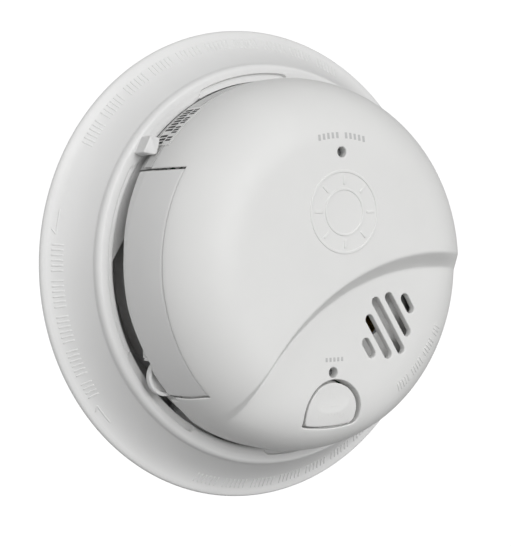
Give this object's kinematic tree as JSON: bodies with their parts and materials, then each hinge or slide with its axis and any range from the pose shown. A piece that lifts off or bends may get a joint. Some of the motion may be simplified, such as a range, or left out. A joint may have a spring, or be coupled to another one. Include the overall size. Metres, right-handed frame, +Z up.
{
  "type": "smoke detector",
  "caption": "Round mains smoke alarm with a stepped domed cover, test button and slide-out battery drawer, twisted onto a wide dished mounting bracket.",
  "frame": {"origin": "centre of the mounting bracket's back face, on the wall", "axes": "+Z up, +Y into the wall, the alarm's face looks along -Y and its battery drawer opens along -X"},
  "size_m": [0.142, 0.0505, 0.142],
  "materials": {
    "bracket_plastic": "satin moulded",
    "housing_plastic": "fine textured",
    "cover_plastic": "fine textured",
    "button_plastic": "satin moulded",
    "drawer_plastic": "fine textured",
    "label_film": "printed film",
    "rating_film": "printed foil",
    "board_laminate": "solder resist",
    "chamber_metal": "drawn tinned steel",
    "insulator_plastic": "natural",
    "brass_sheet": "rolled",
    "horn_plastic": "moulded",
    "contact_metal": "plated spring steel",
    "inlet_plastic": "moulded",
    "film_block": "epoxy dipped",
    "capacitor_sleeve": "shrink sleeve",
    "varistor_coat": "epoxy dipped",
    "chip_moulding": "moulded",
    "resistor_coat": "lacquered",
    "red_lens": "clear moulded",
    "green_lens": "clear moulded",
    "clear_acrylic": "polished",
    "screw_steel": "zinc plated",
    "battery_jacket": "lacquered tin plate"
  },
  "bodies": {
    "bracket": {"mounting_bracket": "bracket_plastic"},
    "alarm": {"base_housing": "housing_plastic", "cover": "cover_plastic", "date_label": "label_film", "rating_label": "rating_film", "circuit_board": "board_laminate", "chamber_insulator": "insulator_plastic", "chamber_can": "chamber_metal", "collector_plate": "chamber_metal", "source_holder": "brass_sheet", "horn_resonator": "horn_plastic", "piezo_disc": "brass_sheet", "horn_contacts": "contact_metal", "power_inlet": "inlet_plastic", "inlet_pins": "contact_metal", "film_capacitor": "film_block", "electrolytic_capacitors": "capacitor_sleeve", "varistor": "varistor_coat", "detector_chip": "chip_moulding", "logic_chip": "chip_moulding", "resistors": "resistor_coat", "diodes": "chip_moulding", "alarm_lamp": "red_lens", "power_lamp": "green_lens", "light_guides": "clear_acrylic", "battery_bay": "housing_plastic", "battery_contacts": "contact_metal", "switch_leaf": "contact_metal", "board_screws": "screw_steel", "cover_screws": "screw_steel"},
    "button": {"test_button": "button_plastic"},
    "drawer": {"battery_drawer": "drawer_plastic", "battery": "battery_jacket", "battery_terminals": "contact_metal"}
  },
  "joints": [
    {"name": "alarm_twist", "type": "hinge", "parent": "bracket", "child": "alarm", "pos_m": [0, 0, 0], "axis": [0, -1, 0], "range_deg": [0, 18]},
    {"name": "button_press", "type": "slide", "parent": "alarm", "child": "button", "axis": [0, 1, 0], "range_m": [0, 0.0015], "stiffness_N_per_m": 500, "springref_m": -0.0004},
    {"name": "drawer_slide", "type": "slide", "parent": "alarm", "child": "drawer", "axis": [-1, 0, 0], "range_m": [0, 0.032]}
  ]
}
